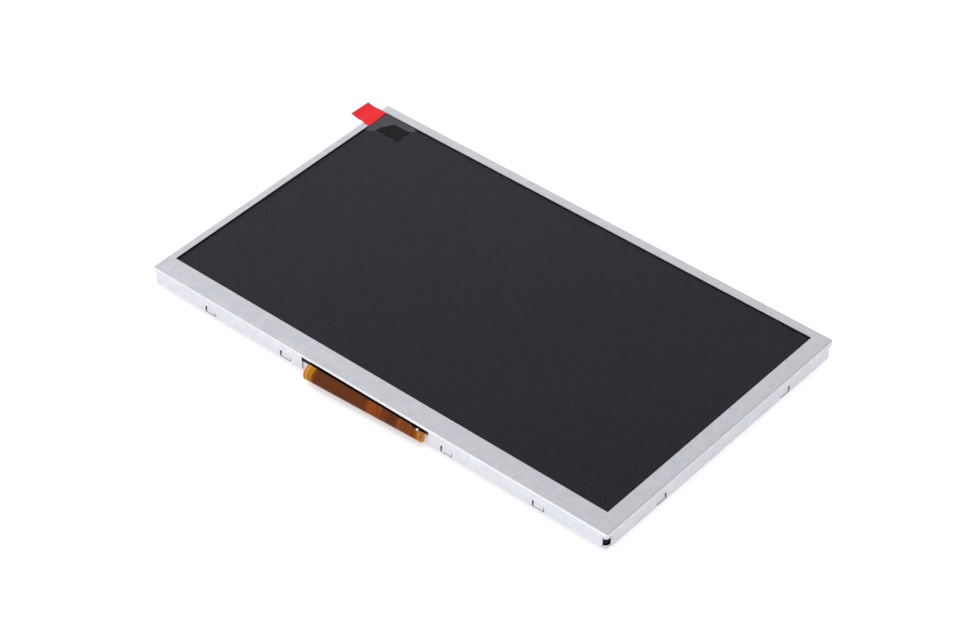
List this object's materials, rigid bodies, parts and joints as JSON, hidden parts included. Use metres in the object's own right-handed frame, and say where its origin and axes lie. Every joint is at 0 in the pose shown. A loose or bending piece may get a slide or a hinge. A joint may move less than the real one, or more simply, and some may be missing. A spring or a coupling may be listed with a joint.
{
  "type": "tft display module",
  "caption": "Flat rectangular colour display panel in a folded metal bezel, with a flexible circuit wrapped round one long side and a red pull tab on its protective film.",
  "frame": {"origin": "middle of the module's outline on the flat rear face of the rear cover", "axes": "+Z towards the viewer, out of the display's face; X along the long sides; the flexible circuit folds round the -Y side"},
  "size_m": [0.1702, 0.103, 0.0073],
  "materials": {
    "bezel_steel": "satin rolled sheet, folded edges polished by the press",
    "cover_aluminium": "satin pressed sheet",
    "frame_plastic": "black moulded polycarbonate",
    "reflector_film": "white reflective film",
    "guide_acrylic": "clear acrylic",
    "optical_film": "frosted film",
    "strip_polyimide": "amber polyimide",
    "led_case": "white case with yellow phosphor",
    "black_tape": "black light-blocking tape",
    "polariser_film": "dark grey polarising film, half gloss",
    "cell_glass": "thin display glass",
    "bare_silicon": "polished chip back",
    "foam": "black micro-cell foam",
    "flex_polyimide": "amber coverlay over copper",
    "white_tape": "double-sided tape",
    "stiffener_polyimide": "thick amber polyimide",
    "gold": "gold plate",
    "capacitor_ceramic": "sintered ceramic with tinned ends",
    "resistor_ceramic": "glazed chip with tinned ends",
    "diode_plastic": "moulded epoxy",
    "solder": "bright solder",
    "amber_tape": "thin amber tape",
    "clear_film": "clear protective film",
    "red_tape": "red vinyl tape"
  },
  "bodies": {
    "root": {"rear_cover": "cover_aluminium", "reflector_sheet": "reflector_film", "light_guide": "guide_acrylic", "diffuser_sheet": "optical_film", "lower_prism_sheet": "optical_film", "upper_prism_sheet": "optical_film", "top_diffuser": "optical_film", "led_strip": "strip_polyimide", "leds": "led_case", "mould_frame": "frame_plastic", "rim_tape": "black_tape", "bottom_polariser": "polariser_film", "tft_glass": "cell_glass", "colour_filter_glass": "cell_glass", "top_polariser": "polariser_film", "left_source_driver": "bare_silicon", "right_source_driver": "bare_silicon", "gate_driver": "bare_silicon", "cushion_gasket": "foam", "front_bezel": "bezel_steel", "display_flex": "flex_polyimide", "flex_tape": "white_tape", "tail_stiffener": "stiffener_polyimide", "tail_contacts": "gold", "large_capacitors": "capacitor_ceramic", "small_capacitors": "capacitor_ceramic", "chip_resistors": "resistor_ceramic", "diode_arrays": "diode_plastic", "solder_joints": "solder", "cover_tape": "amber_tape", "protective_film": "clear_film", "pull_tab": "red_tape"}
  },
  "joints": []
}
